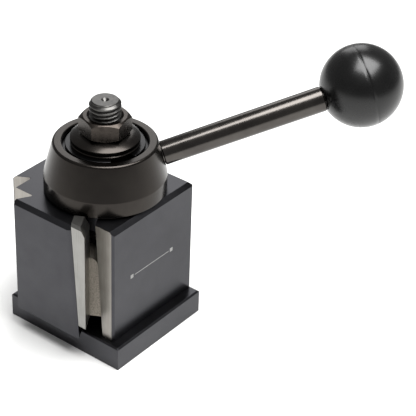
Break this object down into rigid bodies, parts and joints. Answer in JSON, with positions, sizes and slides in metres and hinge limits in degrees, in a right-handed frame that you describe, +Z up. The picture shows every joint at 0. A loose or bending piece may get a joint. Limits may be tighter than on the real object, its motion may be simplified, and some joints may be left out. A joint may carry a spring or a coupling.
{
  "type": "quick change tool post",
  "caption": "Wedge-type quick change tool post for a small lathe: dovetailed block on a base plate, conical lever hub, ball-ended lever and clamp stud.",
  "frame": {"origin": "centre of the stud's lower end, in the plane that the post stands on", "axes": "+Z up along the stud; -Y out of the turning dovetail; -X out of the facing dovetail"},
  "size_m": [0.1107, 0.121, 0.1102],
  "materials": {
    "black_oxide_steel": "black oxide, satin",
    "ground_steel": "ground",
    "gib_steel": "ground outside, as cast behind",
    "spring_steel": "oiled",
    "turned_brass": "turned",
    "black_phenolic": "polished"
  },
  "bodies": {
    "root": {"body_block": "black_oxide_steel", "base_plate": "black_oxide_steel", "base_screw_1": "black_oxide_steel", "base_screw_2": "black_oxide_steel", "base_screw_3": "black_oxide_steel", "base_screw_4": "black_oxide_steel", "center_sleeve": "black_oxide_steel", "sleeve_pin": "ground_steel", "retaining_ring": "spring_steel", "lower_thrust_washer": "spring_steel", "upper_thrust_washer": "spring_steel"},
    "swing": {"screw_rotor": "black_oxide_steel", "collar": "black_oxide_steel", "drive_pin_1": "ground_steel", "drive_pin_2": "ground_steel", "drive_pin_3": "ground_steel", "lever_rod": "black_oxide_steel", "ball_knob": "black_phenolic", "knob_insert": "turned_brass"},
    "turning_gib": {"turning_gib": "gib_steel"},
    "facing_gib": {"facing_gib": "gib_steel"},
    "clamp_washer": {"clamp_washer": "black_oxide_steel"},
    "clamp_nut": {"clamp_nut": "black_oxide_steel"},
    "stud": {"stud": "black_oxide_steel"}
  },
  "joints": [
    {"name": "lever_swing", "type": "hinge", "parent": "root", "child": "swing", "pos_m": [0, 0, 0.0654], "axis": [0, 0, 1], "range_deg": [-120, 30]},
    {"name": "turning_gib_slide", "type": "slide", "parent": "root", "child": "turning_gib", "axis": [-0.0654, 0, 0.9979], "range_m": [-0.00535, 0.00135]},
    {"name": "facing_gib_slide", "type": "slide", "parent": "root", "child": "facing_gib", "axis": [0, -0.0654, 0.9979], "range_m": [-0.00535, 0.00135]},
    {"name": "post_swivel", "type": "hinge", "parent": "root", "child": "clamp_washer", "pos_m": [0, 0, 0.08], "axis": [0, 0, 1], "continuous": true},
    {"name": "nut_turn", "type": "hinge", "parent": "clamp_washer", "child": "clamp_nut", "pos_m": [0, 0, 0.0866], "axis": [0, 0, 1], "range_deg": [-722, 0]},
    {"name": "stud_rise", "type": "slide", "parent": "clamp_washer", "child": "stud", "axis": [0, 0, 1], "range_m": [0, 0.0035]}
  ],
  "couplings": [
    {"joint": "turning_gib_slide", "follows": "lever_swing", "m_per_rad": 0.0025519},
    {"joint": "facing_gib_slide", "follows": "lever_swing", "m_per_rad": 0.0025519},
    {"joint": "nut_turn", "follows": "stud_rise", "rad_per_m": -3590.4}
  ]
}
